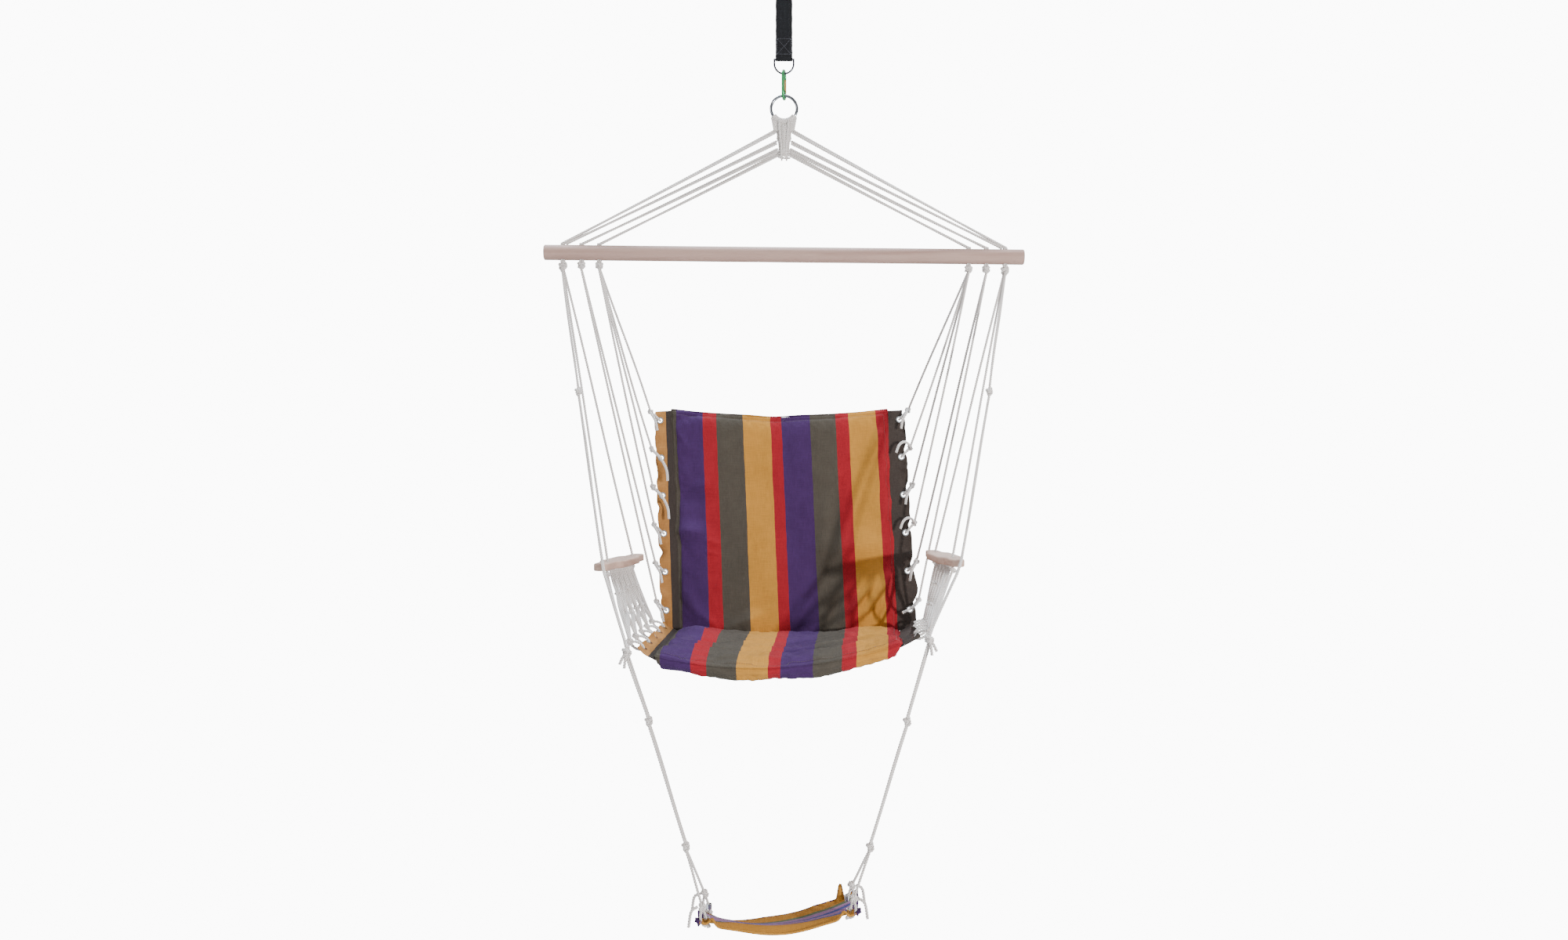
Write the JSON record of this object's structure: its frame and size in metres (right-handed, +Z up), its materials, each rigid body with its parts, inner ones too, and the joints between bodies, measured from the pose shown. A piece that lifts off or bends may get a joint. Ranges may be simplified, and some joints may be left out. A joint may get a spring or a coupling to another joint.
{
  "type": "hanging hammock chair",
  "caption": "Hanging rope hammock chair: strap and carabiner, wooden spreader bar, padded striped back and seat laced to ropes, netted wooden armrests and a hanging footrest.",
  "frame": {"origin": "the point where a ceiling hook bears, inside the top of the upper D-ring", "axes": "+Z up, +X to the right of someone facing the chair, -Y to the front, where the sitter looks"},
  "size_m": [1.0002, 0.5377, 1.94],
  "materials": {
    "ring_steel": "polished",
    "webbing": "matte",
    "green_aluminium": "satin",
    "gate_aluminium": "satin",
    "spring_steel": "satin",
    "bar_wood": "satin",
    "arm_wood": "satin",
    "striped_canvas": "matte",
    "backing_canvas": "matte",
    "wadding": "matte",
    "ochre_hem": "matte",
    "olive_hem": "matte",
    "footrest_canvas": "matte",
    "eyelet_steel": "polished",
    "cotton_rope": "matte"
  },
  "bodies": {
    "hook_ring": {"hook_d_ring": "ring_steel"},
    "strap": {"strap_webbing": "webbing"},
    "lower_ring": {"lower_d_ring": "ring_steel"},
    "carabiner": {"carabiner_body": "green_aluminium", "gate_rivet": "spring_steel"},
    "gate": {"carabiner_gate": "gate_aluminium", "gate_spring": "spring_steel"},
    "bridle": {"suspension_ring": "ring_steel", "ring_hitches": "cotton_rope", "rope_neck": "cotton_rope", "bridle_left": "cotton_rope", "bridle_right": "cotton_rope", "spreader_bar": "bar_wood", "bar_knots_left": "cotton_rope", "bar_knots_right": "cotton_rope"},
    "sling": {"back_front_panel": "striped_canvas", "back_wadding": "wadding", "back_rear_panel": "backing_canvas", "seat_top_panel": "striped_canvas", "seat_wadding": "wadding", "seat_bottom_panel": "backing_canvas", "back_hem_left": "ochre_hem", "back_hem_right": "olive_hem", "seat_hem_left": "ochre_hem", "seat_hem_right": "olive_hem", "back_grommets_left": "eyelet_steel", "back_grommets_right": "eyelet_steel", "seat_grommets_left": "eyelet_steel", "seat_grommets_right": "eyelet_steel", "back_ropes_left": "cotton_rope", "back_ropes_right": "cotton_rope", "arm_ropes_left": "cotton_rope", "arm_ropes_right": "cotton_rope", "riser_ropes_left": "cotton_rope", "riser_ropes_right": "cotton_rope", "riser_knots_left": "cotton_rope", "riser_knots_right": "cotton_rope", "back_ties_left": "cotton_rope", "back_ties_right": "cotton_rope", "seat_lacing_left": "cotton_rope", "seat_lacing_right": "cotton_rope", "net_left": "cotton_rope", "net_right": "cotton_rope", "back_tails_left": "cotton_rope", "back_tails_right": "cotton_rope"},
    "armrest_left": {"armrest_left": "arm_wood"},
    "armrest_right": {"armrest_right": "arm_wood"},
    "foot_ropes": {"footrest_ropes_left": "cotton_rope", "footrest_ropes_right": "cotton_rope", "footrest_knots_left": "cotton_rope", "footrest_knots_right": "cotton_rope"},
    "footrest": {"footrest_panel": "footrest_canvas", "footrest_grommets": "eyelet_steel", "footrest_ties_left": "cotton_rope", "footrest_ties_right": "cotton_rope", "footrest_tails": "cotton_rope"}
  },
  "joints": [
    {"name": "strap_swing", "type": "hinge", "parent": "hook_ring", "child": "strap", "pos_m": [0, 0, -0.0275], "axis": [1, 0, 0], "range_deg": [-25, 25]},
    {"name": "ring_swing", "type": "hinge", "parent": "strap", "child": "lower_ring", "pos_m": [0, 0, -0.2235], "axis": [1, 0, 0], "range_deg": [-25, 25]},
    {"name": "chair_turn", "type": "hinge", "parent": "lower_ring", "child": "carabiner", "pos_m": [0, 0, -0.253], "axis": [0, 0, 1], "range_deg": [-30, 30]},
    {"name": "gate_open", "type": "hinge", "parent": "carabiner", "child": "gate", "pos_m": [0.00226, 0.0128, -0.2877], "axis": [0.9848, -0.1736, 0], "range_deg": [0, 22], "stiffness_Nm_per_rad": 0.01, "springref_deg": -11.46},
    {"name": "chair_sway", "type": "hinge", "parent": "carabiner", "child": "bridle", "pos_m": [0, 0, -0.3264], "axis": [0, 1, 0], "range_deg": [-12, 12]},
    {"name": "sling_tilt", "type": "hinge", "parent": "bridle", "child": "sling", "pos_m": [-0.00026, 0, -0.6567], "axis": [0.9999, 0, -0.01], "range_deg": [-15, 15]},
    {"name": "armrest_left_roll", "type": "hinge", "parent": "sling", "child": "armrest_left", "pos_m": [-0.335, -0.054, -1.264], "axis": [0.1392, 0.9903, 0], "range_deg": [-10, 10]},
    {"name": "armrest_right_roll", "type": "hinge", "parent": "sling", "child": "armrest_right", "pos_m": [0.327, -0.054, -1.256], "axis": [-0.061, 0.9981, 0], "range_deg": [-10, 10]},
    {"name": "foot_swing", "type": "hinge", "parent": "sling", "child": "foot_ropes", "pos_m": [-0.011, -0.285, -1.406], "axis": [0.9991, 0, 0.0425], "range_deg": [-45, 15]},
    {"name": "foot_tilt", "type": "hinge", "parent": "foot_ropes", "child": "footrest", "pos_m": [-0.011, -0.285, -1.783], "axis": [1, 0, 0], "range_deg": [-25, 25]}
  ]
}
